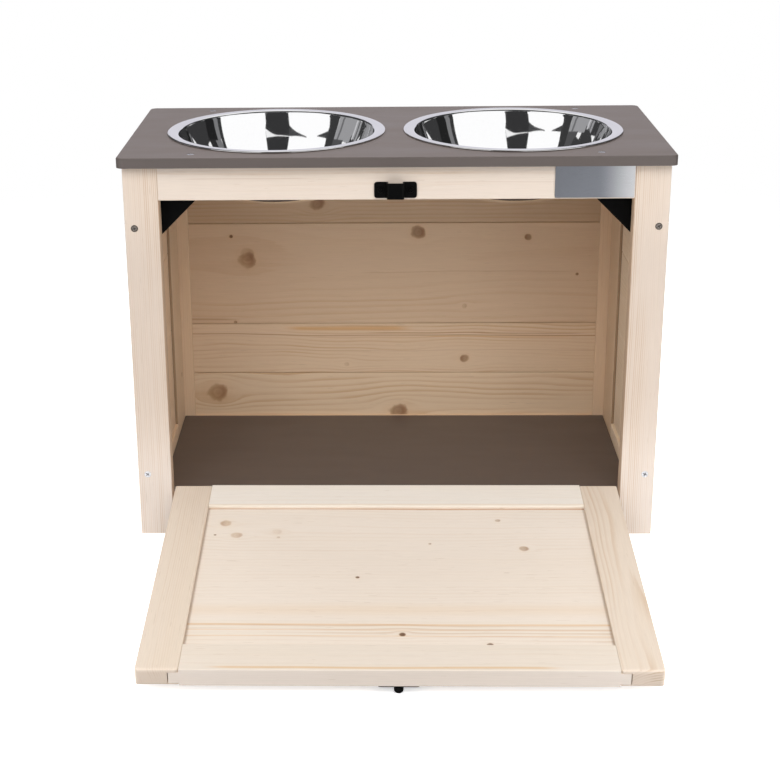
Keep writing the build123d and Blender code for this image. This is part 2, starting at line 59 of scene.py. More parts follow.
# The open door: along it from the hinge to the free edge, and out of its inner face.
DOOR_LONG = Vector((0, -math.sin(DOOR_ANGLE), math.cos(DOOR_ANGLE)))
DOOR_UP = Vector((0, DOOR_LONG.z, -DOOR_LONG.y))

# ------------------------------------------------------------------ node trees


class Tree:
    """Adds nodes to a node tree; a value is a socket, a number or a vector."""

    def __init__(self, tree):
        self.tree = tree

    def node(self, kind, **settings):
        made = self.tree.nodes.new(kind)
        for key, value in settings.items():
            setattr(made, key, value)
        return made

    def feed(self, value, socket):
        if isinstance(value, bpy.types.NodeSocket):
            self.tree.links.new(value, socket)
        else:
            socket.default_value = value

    def math(self, operation, *values, clamp=False):
        made = self.node("ShaderNodeMath", operation=operation, use_clamp=clamp)
        for value, socket in zip(values, made.inputs):
            self.feed(value, socket)
        return made.outputs[0]

    def vector(self, operation, *values):
        made = self.node("ShaderNodeVectorMath", operation=operation)
        for value, socket in zip(values, made.inputs):
            self.feed(value, socket)
        return made.outputs["Value" if operation == "DOT_PRODUCT" else "Vector"]

    def combine(self, x, y, z):
        made = self.node("ShaderNodeCombineXYZ")
        for value, socket in zip((x, y, z), made.inputs):
            self.feed(value, socket)
        return made.outputs[0]

    def place(self):
        """The point that is shaded, in its object's own axes, in metres."""
        return self.node("ShaderNodeTexCoord").outputs["Object"]

    def noise(self, vector, scale=1.0, detail=2.0, roughness=0.5):
        made = self.node("ShaderNodeTexNoise")
        self.feed(vector, made.inputs["Vector"])
        made.inputs["Scale"].default_value = scale
        made.inputs["Detail"].default_value = detail
        made.inputs["Roughness"].default_value = roughness
        return made.outputs["Fac"]

    def ramp(self, value, low, high, to_low=0.0, to_high=1.0, smooth=True):
        made = self.node(
            "ShaderNodeMapRange", interpolation_type="SMOOTHSTEP" if smooth else "LINEAR"
        )
        for item, socket in zip((value, low, high, to_low, to_high), made.inputs):
            self.feed(item, socket)
        return made.outputs[0]

    def mix(self, factor, a, b, blend="MIX"):
        made = self.node("ShaderNodeMix", data_type="RGBA", blend_type=blend)
        self.feed(factor, made.inputs["Factor"])
        self.feed(a, made.inputs[6])
        self.feed(b, made.inputs[7])
        return made.outputs[2]


def add_object(name, mesh):
    """A new object in the scene, with the faces that a bmesh holds."""
    data = bpy.data.meshes.new(name)
    mesh.to_mesh(data)
    mesh.free()
    made = bpy.data.objects.new(name, data)
    scene.collection.objects.link(made)
    return made


def rgba(r, g, b):
    return (r, g, b, 1.0)


def shade(name):
    """A new material with a Principled shader, its tree and its shader node."""
    material = bpy.data.materials.new(name)
    material.use_nodes = True
    tree = Tree(material.node_tree)
    return material, tree, material.node_tree.nodes["Principled BSDF"]


def finish_bump(tree, shader, height, strength, distance):
    """Raises a material's surface by a height; distance is in metres."""
    bump = tree.node("ShaderNodeBump")
    bump.inputs["Strength"].default_value = strength
    bump.inputs["Distance"].default_value = distance
    tree.feed(height, bump.inputs["Height"])
    tree.feed(bump.outputs[0], shader.inputs["Normal"])


# ------------------------------------------------------------------ pine

EARLY = rgba(0.83, 0.715, 0.59)
LATE = rgba(0.66, 0.47, 0.30)
END_GRAIN = rgba(0.56, 0.46, 0.38)
WARM = rgba(0.80, 0.66, 0.49)
END_LATE = rgba(0.40, 0.29, 0.20)
CANAL = rgba(0.45, 0.31, 0.19)
# Stains, which multiply the wood's colour, and painted shade for the joints and painted
# light for the top rail's upper edge, which multiply it too.
RESIN = (0.93, 0.76, 0.54)
DARK_LINE = (0.60, 0.42, 0.31)
# Painted shade, darkening the wood along its joints.
SEAM_SHADE = (0.28, 0.18, 0.12)
KNOT_BASE = (0.74, 0.655, 0.58)
KNOT_CRESCENT = rgba(0.73, 0.62, 0.58)
KNOT_RINGS = rgba(0.86, 0.81, 0.78)
KNOT_HALO = rgba(0.94, 0.88, 0.80)
KNOT_CORE = rgba(0.20, 0.13, 0.09)
# Painted light: the top rail paler along its upper edge, where the top board's overhang shades it.
TOP_RAIL_LIGHT = (1.10, 1.10, 1.12)
DOOR_PALE = (1.06, 1.075, 1.09)

# Tints of the boards, by their place on the feeder.
LEGS = (0.92, 0.90, 0.92)
RAILS = (0.92, 0.92, 0.965)
# Painted shade and light: the boards inside the cabinet are tinted darker and warmer, for its
# shade and the warm light bounced between its boards.
INSIDE_SHADE = (0.98, 0.84, 0.70)
SIDES_SHADE = (0.90, 0.79, 0.67)
# Painted shade and light: both linings are tinted warm for the light bounced inside the cabinet,
# and the right one paler, as it faces the light from the left.
LINING_SHADES = {"left": (0.99, 0.865, 0.74), "right": (1.05, 1.01, 0.94)}
DOOR = (1.04, 1.06, 1.11)
DOOR_RAIL = (1.14, 1.23, 1.35)
FREE_RAIL = (0.98, 1.0, 1.04)
DOOR_STILES = (0.96, 0.945, 0.945)
# Tints of their narrow edges, where these differ from the usual.
LEG_EDGE = (0.97, 0.86, 0.74)
# Painted shade: the rear stiles' narrow edges are darkened for the shadowed gap where the linings
# step down to them.
REAR_STILE_SHADE = (0.50, 0.44, 0.38)
FREE_RAIL_EDGE = (0.85, 0.85, 0.88)
DOOR_STILE_EDGE = (0.88, 0.86, 0.84)

KNOT_REACH = 1.35                 # the grain parts round a knot, so many radii from it
KNOT_TAIL = 0.6                   # how fast it straightens again, along the board
KNOT_STRETCH = 0.92               # a knot's width over its length


def knot_group():
    """Bends the grain round a knot and says how far a point is from its centre."""
    group = bpy.data.node_groups.new("knot", "ShaderNodeTree")
    face = group.interface
    for label, kind in (
        ("u", "NodeSocketFloat"), ("v", "NodeSocketFloat"), ("u0", "NodeSocketFloat"),
        ("v0", "NodeSocketFloat"), ("Radius", "NodeSocketFloat"), ("Stretch", "NodeSocketFloat"),
        ("Wobble", "NodeSocketFloat"),
    ):
        face.new_socket(label, in_out="INPUT", socket_type=kind)
    for label in ("Bend", "Distance", "Side"):
        face.new_socket(label, in_out="OUTPUT", socket_type="NodeSocketFloat")
    t = Tree(group)
    given = t.node("NodeGroupInput").outputs
    result = t.node("NodeGroupOutput").inputs
    du = t.math("MULTIPLY", t.math("SUBTRACT", given["u"], given["u0"]), given["Stretch"])
    dv = t.math("SUBTRACT", given["v"], given["v0"])
    square = t.math("ADD", t.math("MULTIPLY", du, du), t.math("MULTIPLY", dv, dv))
    far = t.math("SQRT", square)
    reach = t.math("MULTIPLY", given["Radius"], KNOT_REACH)
    reach2 = t.math("MULTIPLY", reach, reach)
    long_du = t.math("MULTIPLY", du, KNOT_TAIL)
    long2 = t.math("ADD", t.math("MULTIPLY", long_du, long_du), t.math("MULTIPLY", dv, dv))
    inside = t.math("DIVIDE", reach2, t.math("MAXIMUM", long2, reach2))
    t.feed(t.math("MULTIPLY", dv, inside), result["Bend"])
    wobble = t.math("ADD", 1.0, t.math("MULTIPLY", given["Wobble"], 0.8))
    t.feed(t.math("DIVIDE", du, given["Radius"]), result["Side"])
    t.feed(t.math("DIVIDE", t.math("MULTIPLY", far, wobble), given["Radius"]), result["Distance"])
    return group


KNOT = knot_group()


def tinted(colour, tint):
    """A colour times a tint, kept below the brightest that wood can be."""
    return rgba(*[min(c * k, 0.95) for c, k in zip(colour, tint)])


def paint_knots(t, colour, marks, knot_tint):
    """Each mark is a knot's distance and side sockets, darkness, strength, darker side."""
    for distance, side_of, dark, strength, side in marks:
        halo = t.math("MULTIPLY", t.ramp(distance, 2.0, 0.9), 0.30 * strength)
        colour = t.mix(halo, colour, KNOT_HALO, blend="MULTIPLY")
        mask = t.ramp(distance, 1.15, 0.68 + 0.18 * dark, 0.0, strength)
        rings = t.math(
            "MULTIPLY_ADD", t.math("SINE", t.math("MULTIPLY", distance, 15.0)), 0.5, 0.5
        )
        crescent = t.ramp(t.math("MULTIPLY", side_of, side), -0.25, 0.75)
        colour = t.mix(mask, colour, tinted(KNOT_BASE, knot_tint), blend="MULTIPLY")
        inner = t.math("MULTIPLY", t.math("MULTIPLY", mask, crescent), 0.8)
        colour = t.mix(inner, colour, KNOT_CRESCENT, blend="MULTIPLY")
        ringed = t.math("MULTIPLY", t.math("MULTIPLY", mask, rings), 0.5)
        colour = t.mix(ringed, colour, KNOT_RINGS, blend="MULTIPLY")
        if dark:
            core = t.math("MULTIPLY", t.ramp(distance, 1.05, 0.55), dark)
            colour = t.mix(core, colour, KNOT_CORE, blend="MULTIPLY")
    return colour


def paint_faces(t, colour, late, long, wide, tint, edge, outside):
    """Gives a board's ends, its narrow edges and a door piece's outer face their own tones."""
    normal = t.node("ShaderNodeNewGeometry").outputs["Normal"]
    object_normal = t.node(
        "ShaderNodeVectorTransform", vector_type="NORMAL", convert_from="WORLD",
        convert_to="OBJECT",
    )
    t.feed(normal, object_normal.inputs[0])
    facing = t.vector("DOT_PRODUCT", object_normal.outputs[0], tuple(long))
    end = t.ramp(t.math("ABSOLUTE", facing), 0.6, 0.9, 0.0, 0.85)
    end_colour = t.mix(t.math("MULTIPLY", late, 1.3), END_GRAIN, END_LATE)
    colour = t.mix(end, colour, end_colour)
    sideways = t.vector("DOT_PRODUCT", object_normal.outputs[0], tuple(wide))
    narrow = t.ramp(t.math("ABSOLUTE", sideways), 0.6, 0.9)
    colour = t.mix(narrow, colour, rgba(*edge), blend="MULTIPLY")
    if outside:
        outwards = t.vector("DOT_PRODUCT", object_normal.outputs[0], tuple(-DOOR_UP))
        change = rgba(*[out / inner for out, inner in zip(outside, tint)])
        colour = t.mix(t.ramp(outwards, 0.6, 0.9), colour, change, blend="MULTIPLY")
    return colour


def pine(name, long, wide, centre, pith, spacing, seed, knots=(), contrast=1.0, wave=1.0,
         streaks=(), bands=(), seams=(), tint=(1.0, 1.0, 1.0), edge=(0.93, 0.92, 0.89),
         knot_tint=(1.0, 1.0, 1.0), outside=None):
    """Planed pine. long and wide are the board's own directions and centre a point in it;
    pith is where the tree's middle runs, across and below the board's face, in metres;
    spacing is the width of a year's ring; contrast is how dark the rings' lines are, and
    wave how much they wander; knots are (along, across, radius, darkness, strength, darker
    side), streaks (across, half width, strength, tint, from, to) and bands (from, to, gain)
    of stronger grain; a streak's tint is mostly the wood's own, and painted shade at the
    door's seam and painted light under the top board; the next list holds bands across the
    board (along, half width, strength, tint) of painted shade, as at a joint, and of painted
    light; edge is the tint of the board's narrow edges; outside is the tint of a door
    piece's outer face, where it isn't that of its inner face."""
    material, t, shader = shade(name)
    early, late_colour = tinted(EARLY, tint), tinted(LATE, tint)
    long, wide = Vector(long), Vector(wide)
    deep = long.cross(wide)
    place = t.vector("SUBTRACT", t.place(), tuple(centre))
    u = t.vector("DOT_PRODUCT", place, tuple(long))
    v = t.vector("DOT_PRODUCT", place, tuple(wide))
    w = t.vector("DOT_PRODUCT", place, tuple(deep))

    def stretched(along, across, shift):
        return t.combine(
            t.math("MULTIPLY", u, along),
            t.math("MULTIPLY", v, across),
            t.math("MULTIPLY_ADD", w, across, seed * 3.7 + shift),
        )

    # A place across the board, which the knots push aside and slow waves carry along.
    wobble = t.math("SUBTRACT", t.noise(stretched(90.0, 90.0, 0.3), 1.0, 2.0), 0.5)
    bent = v
    marks = []
    for along, across, radius, dark, strength, side in knots:
        knot = t.node("ShaderNodeGroup", node_tree=KNOT)
        for key, value in (
            ("u", u), ("v", v), ("u0", along), ("v0", across), ("Radius", radius),
            ("Stretch", KNOT_STRETCH), ("Wobble", wobble),
        ):
            t.feed(value, knot.inputs[key])
        bent = t.math("SUBTRACT", bent, knot.outputs["Bend"])
        marks.append((knot.outputs["Distance"], knot.outputs["Side"], dark, strength, side))

    slow = t.math("SUBTRACT", t.noise(stretched(3.2, 9.0, 0.0), 1.0, 2.0, 0.45), 0.5)
    bent = t.math("MULTIPLY_ADD", slow, 0.030 * wave, bent)

    # The year's rings: the distance from the pith, and the late wood's line in each ring.
    lift = t.math("SUBTRACT", t.noise(stretched(2.1, 7.0, 5.0), 1.0, 1.0), 0.5)
    across = t.math("SUBTRACT", bent, pith[0])
    below = t.math("SUBTRACT", t.math("MULTIPLY_ADD", lift, 0.020 * wave, w), pith[1])
    from_pith = t.math(
        "SQRT",
        t.math("ADD", t.math("MULTIPLY", across, across), t.math("MULTIPLY", below, below)),
    )
    jitter = t.noise(stretched(14.0, 260.0, 9.0), 1.0, 2.0)
    phase = t.math(
        "ADD", t.math("DIVIDE", from_pith, spacing), t.math("MULTIPLY", jitter, 0.35)
    )
    ring = t.math("FLOOR", phase)
    turn = t.math("FRACT", phase)
    late = t.math("MULTIPLY", t.ramp(turn, 0.30, 0.86), t.ramp(turn, 0.90, 1.0, 1.0, 0.0))
    chance = t.node("ShaderNodeTexWhiteNoise", noise_dimensions="1D")
    t.feed(t.math("ADD", ring, seed * 11.3), chance.inputs["W"])
    strong = t.ramp(chance.outputs["Value"], 0.0, 1.0, 0.15, 1.0, smooth=False)
    fade = t.ramp(t.noise(stretched(5.0, 40.0, 2.0), 1.0, 2.0), 0.32, 0.62, 0.12, 1.0)
    late = t.math("MULTIPLY", t.math("MULTIPLY", late, strong), fade)
    late = t.math("MULTIPLY", late, 0.42 * contrast)
    for start, end, gain in bands:
        soft = 0.2 * (end - start)
        window = t.math(
            "MULTIPLY", t.ramp(bent, start, start + soft), t.ramp(bent, end, end - soft)
        )
        late = t.math("MULTIPLY", late, t.math("MULTIPLY_ADD", window, gain - 1.0, 1.0))

    # Warm patches, fibres and resin canals.
    fibre = t.noise(stretched(40.0, 1500.0, 1.0), 1.0, 2.0, 0.6)
    broad = t.noise(stretched(2.4, 26.0, 7.0), 1.0, 2.0)
    colour = t.mix(late, early, late_colour)
    warm = t.math("MULTIPLY", t.ramp(broad, 0.45, 0.75), 0.16)
    colour = t.mix(warm, colour, tinted(WARM, tint))
    value = t.ramp(fibre, 0.25, 0.75, 0.955, 1.03, smooth=False)
    grey = t.combine(value, value, value)
    colour = t.mix(1.0, colour, grey, blend="MULTIPLY")
    canals = t.ramp(t.noise(stretched(55.0, 900.0, 4.0), 1.0, 0.0), 0.79, 0.83, 0.0, 0.25)
    colour = t.mix(canals, colour, CANAL)

    # Streaks along the board, and bands of painted shade and light across it.
    wavy = t.math("MULTIPLY_ADD", slow, 0.012 * wave, v)
    for place_v, half, strength, stain_and_painted_light, start, end in streaks:
        off = t.math("ABSOLUTE", t.math("SUBTRACT", wavy, place_v))
        mask = t.math("MULTIPLY", t.ramp(off, half, 0.0), strength)
        mask = t.math("MULTIPLY", mask, t.ramp(u, start, start + 0.03))
        mask = t.math("MULTIPLY", mask, t.ramp(u, end, end - 0.03))
        colour = t.mix(mask, colour, rgba(*stain_and_painted_light), blend="MULTIPLY")

    # Bands of painted shade, as at a joint, and of painted light.
    for place_u, half, strength, stain_and_painted_light in seams:
        off = t.math("ABSOLUTE", t.math("SUBTRACT", u, place_u))
        mask = t.math("MULTIPLY", t.ramp(off, half, 0.3 * half), strength)
        colour = t.mix(mask, colour, rgba(*stain_and_painted_light), blend="MULTIPLY")

    colour = paint_knots(t, colour, marks, knot_tint)
    colour = paint_faces(t, colour, late, long, wide, tint, edge, outside)
    t.feed(colour, shader.inputs["Base Color"])
    rough = t.ramp(t.math("ADD", fibre, late), 0.3, 1.1, 0.62, 0.48, smooth=False)
    t.feed(rough, shader.inputs["Roughness"])
    shader.inputs["Specular IOR Level"].default_value = 0.30
    height = t.math("ADD", t.math("MULTIPLY", late, -0.5), t.math("MULTIPLY", fibre, 0.25))
    finish_bump(t, shader, height, 0.25, 0.0004)
    return material


def put(node, material):
    """Gives a CAD node one material."""
    slots = nodes[node].data.materials
    slots.clear()
    slots.append(material)


def board(node, long, wide, pith=(0.02, -0.06), spacing=0.0036, **looks):
    """Gives a CAD board pine of its own; the letters of its name set its grain's seed."""
    low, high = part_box(node)
    middle = (low + high) / 2
    seed = sum(ord(letter) for letter in node) % 97 * 0.61
    put(node, pine("pine_" + node, long, wide, middle, pith, spacing, seed, **looks))


def back_place(node, x, z):
    """A place on the back boards, from the cabinet's middle and the floor, in millimetres."""
    low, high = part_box(node)
    middle = (low + high) / 2
    return x / 1000 - middle.x, z / 1000 - middle.z


# Knots by place: x and z as back_place() takes them, then the rest of a knot in pine().
BACK_KNOTS = {
    "back_board_4": ((-95.0, 329.5, 0.0085, 0.2, 0.9, 1), (120.0, 350.0, 0.004, 0.0, 0.5, 1)),
    "back_board_3": (
        (-184.5, 257.0, 0.0102, 0.0, 0.95, 1), (-184.5, 265.0, 0.0085, 0.0, 0.45, 1),
        (-203.6, 288.2, 0.0021, 0.7, 1.0, 1), (31.4, 293.0, 0.0085, 0.35, 1.0, 1),
        (168.0, 285.9, 0.0040, 0.35, 1.0, -1), (230.9, 237.6, 0.0019, 0.45, 0.9, 1),
        (-201.7, 175.0, 0.0022, 0.2, 0.8, 1), (90.0, 196.0, 0.0030, 0.0, 0.4, 1),
    ),
    "back_board_2": ((90.7, 125.2, 0.0053, 0.25, 1.0, -1), (-60.0, 118.0, 0.003, 0.0, 0.3, 1)),
    "back_board_1": ((-227.4, 79.8, 0.0122, 0.05, 1.0, 1), (6.2, 52.5, 0.0110, 0.3, 1.0, 1)),
}
FULL = (-1.0, 1.0)                # a streak that runs the board's whole length
BACK_LOOKS = {
    "back_board_4": dict(
        pith=(0.09, -0.03), spacing=0.0048, contrast=1.7, wave=0.8,
        streaks=((-0.040, 0.0016, 0.18, DARK_LINE, *FULL),),
    ),
    "back_board_3": dict(
        pith=(0.02, -0.035), spacing=0.0075, contrast=1.0, wave=1.3,
        streaks=(
            (-0.0635, 0.0022, 0.55, DARK_LINE, -0.30, -0.19),
            (-0.001, 0.0009, 0.35, DARK_LINE, -0.05, 0.24),
        ),
    ),
    "back_board_2": dict(
        pith=(0.075, -0.03), spacing=0.0046, contrast=2.2, wave=2.0,
        streaks=(
            (0.0270, 0.0050, 1.0, RESIN, -0.145, 0.030),
            (0.0170, 0.0012, 0.75, DARK_LINE, *FULL),
            (0.0205, 0.0011, 0.70, DARK_LINE, -0.04, 0.25),
            (0.0150, 0.0016, 0.60, RESIN, 0.03, 0.24),
            (-0.004, 0.0008, 0.30, DARK_LINE, *FULL),
        ),
    ),
    "back_board_1": dict(pith=(0.055, -0.025), spacing=0.0062, contrast=1.7, wave=1.3),
}
# The upper part of the back is in the shade of the top board.
UPPER_BACK = tuple(k * INSIDE_SHADE[i] for i, k in enumerate((0.74, 0.71, 0.68)))
# Painted shade: the back boards are tinted darker the higher they stand, for the shade under the
# top board.
BACK_SHADES = {
    "back_board_4": UPPER_BACK,
    "back_board_3": (0.87, 0.735, 0.605),
    "back_board_2": (0.95, 0.82, 0.685),
    "back_board_1": (0.98, 0.86, 0.72),
}
for name, looks in BACK_LOOKS.items():
    marks = [(*back_place(name, x, z), *rest) for x, z, *rest in BACK_KNOTS[name]]
    board(name, X, Z, knots=marks, tint=BACK_SHADES[name], **looks)

board("back_top_rail", X, Z, pith=(0.05, -0.04), spacing=0.0032, tint=UPPER_BACK)
board("back_bottom_rail", X, Z, pith=(0.05, -0.04), spacing=0.0032, tint=INSIDE_SHADE)
board("front_bottom_rail", X, Z, pith=(0.05, -0.04), spacing=0.0032, tint=RAILS)
board(
    "front_top_rail", X, Z, pith=(0.055, -0.02), spacing=0.0055, contrast=0.75, wave=0.8,
    tint=RAILS, bands=((-0.001, 0.022, 1.8),),
    streaks=(
        (0.0055, 0.0008, 0.35, DARK_LINE, -0.24, -0.08), (0.0145, 0.0008, 0.3, RESIN, -0.25, 0.1),
        (0.001, 0.0007, 0.25, DARK_LINE, 0.02, 0.19),
        # The last streak is painted light, lifting the shade that the top board's overhang casts.
        (0.024, 0.012, 1.0, TOP_RAIL_LIGHT, *FULL),
    ),
)
# Wide, soft bands across a leg: painted shade, a little duller about its middle, and
# painted light, paler at its foot where the floor lights it.
LEG_LIGHT_AND_SHADE = ((0.03, 0.20, 1.0, (0.85, 0.845, 0.85)), (-0.217, 0.17, 1.0, (1.05, 1.085, 1.14)))
for side, inward in (("left", 1), ("right", -1)):
    board(f"front_leg_{side}", Z, X, pith=(-0.085 * inward, -0.02), spacing=0.0021,
          contrast=1.3, wave=0.22, tint=LEGS, edge=LEG_EDGE, seams=LEG_LIGHT_AND_SHADE,
          bands=((0.0005, 0.024, 2.0) if inward > 0 else (-0.024, -0.0005, 2.0),))
    board(f"back_leg_{side}", Z, X, pith=(0.085, -0.02), spacing=0.0026, contrast=0.8,
          wave=0.3, tint=INSIDE_SHADE)
    board(f"{side}_side_rear_stile", Z, Y, pith=(0.05, -0.03), spacing=0.0032, wave=0.4,
          tint=SIDES_SHADE, edge=REAR_STILE_SHADE,
          knots=(((-0.115, 0.020, 0.0035, 0.2, 0.9, 1),) if inward > 0 else ()))
    board(f"{side}_side_front_stile", Z, Y, pith=(0.05, -0.03), spacing=0.0032, wave=0.4,
          tint=SIDES_SHADE)
    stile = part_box(f"{side}_side_rear_stile")[0].y
    for name in ("bottom_rail", "top_rail", "board_1", "board_2", "board_3"):
        low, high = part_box(f"{side}_side_{name}")
        # Painted shade along each lining where it meets the rear stile.
        board(f"{side}_side_{name}", Y, Z, pith=(0.06, -0.04), spacing=0.0042,
              tint=LINING_SHADES[side],
              seams=((stile - (low.y + high.y) / 2, 0.0016, 0.95, SEAM_SHADE),))
for name in ("floor_cleat_front", "floor_cleat_back"):
    board(name, X, Y, pith=(0.03, -0.03), spacing=0.0030)


def door_place(node, x, along):
    """A place on the open door, from its middle and its hinge edge, in millimetres."""
    low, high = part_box(node)
    middle = (low + high) / 2
    edge = HINGE + DOOR_LONG * DOOR_START + DOOR_UP * DOOR_FACE
    at = edge + X * x / 1000 + DOOR_LONG * along / 1000
    return (at - middle).dot(X), (at - middle).dot(DOOR_LONG)


# Knots by place: x and along as door_place() takes them, then the rest of a knot in pine().
DOOR_KNOTS = (
    (-187.4, 78.9, 0.0062, 0.0, 0.75, -1), (-173.8, 104.0, 0.0058, 0.0, 0.6, 1),
    (-197.3, 103.0, 0.0015, 0.5, 0.8, 1), (-130.2, 96.0, 0.0050, 0.0, 0.22, 1),
    (-128.0, 108.0, 0.0018, 0.1, 0.4, 1), (136.0, 130.0, 0.0048, 0.15, 0.75, 1),
    (112.0, 73.0, 0.0030, 0.15, 0.6, 1), (36.0, 121.0, 0.0017, 0.25, 0.7, 1),
    (-41.1, 186.4, 0.0019, 0.75, 1.0, 1), (4.0, 288.0, 0.0033, 0.85, 1.0, 1),
    (89.0, 305.0, 0.0030, 0.7, 0.9, 1),
)
PANEL_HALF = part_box("door_stile_right")[0].x
SEAM = door_place("door_panel", 0.0, 48.5)[1]
PALE_BAND = door_place("door_panel", 0.0, 70.0)[1]
BAND = [door_place("door_panel", 0.0, s)[1] for s in (255.0, 314.0)]
board(
    "door_panel", X, DOOR_LONG, pith=(0.235, -0.02), spacing=0.0062, contrast=0.50, wave=0.6,
    tint=DOOR, outside=RAILS, bands=((BAND[0], BAND[1], 3.0),), knot_tint=(1.02, 0.98, 0.90),
    knots=[(*door_place("door_panel", x, s), *rest) for x, s, *rest in DOOR_KNOTS],
    streaks=(
        # The first streak is painted shade in the step down from the hinge rail to the panel.
        (SEAM, 0.0030, 1.0, DARK_LINE, *FULL), (PALE_BAND, 0.10, 1.0, DOOR_PALE, *FULL),
        (BAND[0] + 0.017, 0.0026, 0.85, RESIN, *FULL),
        (BAND[0] + 0.026, 0.0015, 0.55, RESIN, *FULL),
        (BAND[0] + 0.036, 0.0016, 0.60, RESIN, *FULL),
        (BAND[1] - 0.006, 0.0018, 0.65, RESIN, -0.02, 0.30),
        (BAND[0] - 0.008, 0.016, 0.24, RESIN, *FULL),
    ),
    # Painted shade along the panel's sides, where it sits recessed under the stiles.
    seams=(
        (-PANEL_HALF, 0.0030, 0.45, SEAM_SHADE), (PANEL_HALF, 0.0030, 0.45, SEAM_SHADE),
    ),
)
RAIL_EDGE = door_place("door_free_rail", 0.0, 346.8)[1]
board(
    "door_hinge_rail", X, DOOR_LONG, pith=(0.09, -0.05), spacing=0.0070, contrast=0.35,
    wave=0.5, tint=DOOR_RAIL, outside=RAILS,
    streaks=((door_place("door_hinge_rail", 0.0, 44.5)[1], 0.0035, 0.35, RESIN, *FULL),),
)
board(
    "door_free_rail", X, DOOR_LONG, pith=(0.09, -0.03), spacing=0.0070, contrast=0.40,
    wave=0.9, tint=FREE_RAIL, outside=RAILS, edge=FREE_RAIL_EDGE,
    streaks=((RAIL_EDGE, 0.0028, 1.0, RESIN, -0.19, 0.16),),
)
board("door_stile_left", DOOR_LONG, X, pith=(-0.09, -0.02), spacing=0.0024, contrast=0.8,
      wave=0.35, tint=DOOR_STILES, outside=RAILS, edge=DOOR_STILE_EDGE)
board("door_stile_right", DOOR_LONG, X, pith=(0.012, -0.03), spacing=0.0027, contrast=2.1,
      wave=0.9, tint=DOOR_STILES, outside=RAILS, edge=DOOR_STILE_EDGE)

# ------------------------------------------------------------------ other finishes

STAIN_LOW, STAIN_HIGH = (0.100, 0.080, 0.071), (0.225, 0.183, 0.163)
HEAD_MIDDLE = rgba(0.27, 0.24, 0.22)
WHITE = (1.0, 1.0, 1.0)


def stained_board(name, tone, face):
    """Fibreboard, stained a satin taupe; face is its edges' tone over its upper face's, painted
    shade for the light and sheen that the upper face catches more of.
    """
    material, t, shader = shade(name)
    place = t.place()
    fine = t.noise(place, 2600.0, 2.0)
    cloud = t.noise(t.vector("MULTIPLY", place, (9.0, 30.0, 30.0)), 1.0, 3.0)
    tint = t.math("ADD", t.math("MULTIPLY", fine, 0.10), t.math("MULTIPLY", cloud, 0.12))
    colour = t.mix(tint, tinted(STAIN_LOW, tone), tinted(STAIN_HIGH, tone))
    # Painted shade: the upright edges are darker than the upper face, which catches more light.
    if face < 1.0:
        normal = t.node("ShaderNodeNewGeometry").outputs["Normal"]
        upright = t.math("ABSOLUTE", t.vector("DOT_PRODUCT", normal, Z))
        colour = t.mix(t.ramp(upright, 0.9, 0.5), colour, rgba(face, face, face), blend="MULTIPLY")
    t.feed(colour, shader.inputs["Base Color"])
    t.feed(t.ramp(cloud, 0.3, 0.7, 0.44, 0.54, smooth=False), shader.inputs["Roughness"])
    shader.inputs["Specular IOR Level"].default_value = 0.62
    finish_bump(t, shader, fine, 0.12, 0.0002)
    return material


def black_metal(name, colour=0.0018, rough=(0.28, 0.40), gloss=0.05):
    """Powder-coated steel, black with a trace of blue; colour is how light the black is."""
    material, t, shader = shade(name)
    place = t.place()
    grain = t.noise(place, 1800.0, 2.0)
    worn = t.noise(place, 160.0, 3.0)
    base = t.mix(
        worn, rgba(colour, colour, colour * 1.05), rgba(colour * 1.8, colour * 1.8, colour * 1.9)
    )
    t.feed(base, shader.inputs["Base Color"])
    t.feed(t.ramp(worn, 0.3, 0.7, *rough, smooth=False), shader.inputs["Roughness"])
    shader.inputs["Specular IOR Level"].default_value = gloss
    finish_bump(t, shader, grain, 0.15, 0.0002)
    return material


def steel(name, colour, low, high, stretch, bump, ring=None, fade=None):
    """Bright steel with fine scratches, which are drawn out along an axis that stretch has
    less of. ring is (x, z, radius) of a head with a lighter middle, its darker rim painted
    shade for the head's sunken seat; fade is (x, x, colour) of a sheen that grows to one side."""
    material, t, shader = shade(name)
    place = t.place()
    lines = t.noise(t.vector("MULTIPLY", place, stretch), 1.0, 3.0, 0.6)
    shader.inputs["Metallic"].default_value = 1.0
    dull = t.noise(place, 40.0, 2.0)
    base = t.mix(t.math("MULTIPLY", lines, 0.25), rgba(*colour), rgba(*[c * 0.8 for c in colour]))
    if fade:
        sheen = t.ramp(t.vector("DOT_PRODUCT", place, X), fade[0], fade[1])
        base = t.mix(sheen, base, rgba(*fade[2]))
    # Painted shade: the head is darker round its rim, where it sits sunken in the wood.
    if ring:
        x, z = [t.vector("DOT_PRODUCT", place, axis) for axis in (X, Z)]
        dx = t.math("SUBTRACT", t.math("ABSOLUTE", x), ring[0])
        dz = t.math("SUBTRACT", z, ring[1])
        far = t.math("SQRT", t.math("ADD", t.math("MULTIPLY", dx, dx), t.math("MULTIPLY", dz, dz)))
        base = t.mix(t.ramp(far, ring[2] * 0.80, ring[2] * 0.55), base, HEAD_MIDDLE)
    t.feed(base, shader.inputs["Base Color"])
    rough = t.math("ADD", t.ramp(lines, 0.3, 0.7, low, high), t.math("MULTIPLY", dull, 0.02))
    t.feed(rough, shader.inputs["Roughness"])
    finish_bump(t, shader, lines, bump, 0.0001)
    return material


TAUPE = stained_board("stained_board", (1.33, 1.31, 1.33), 0.59)
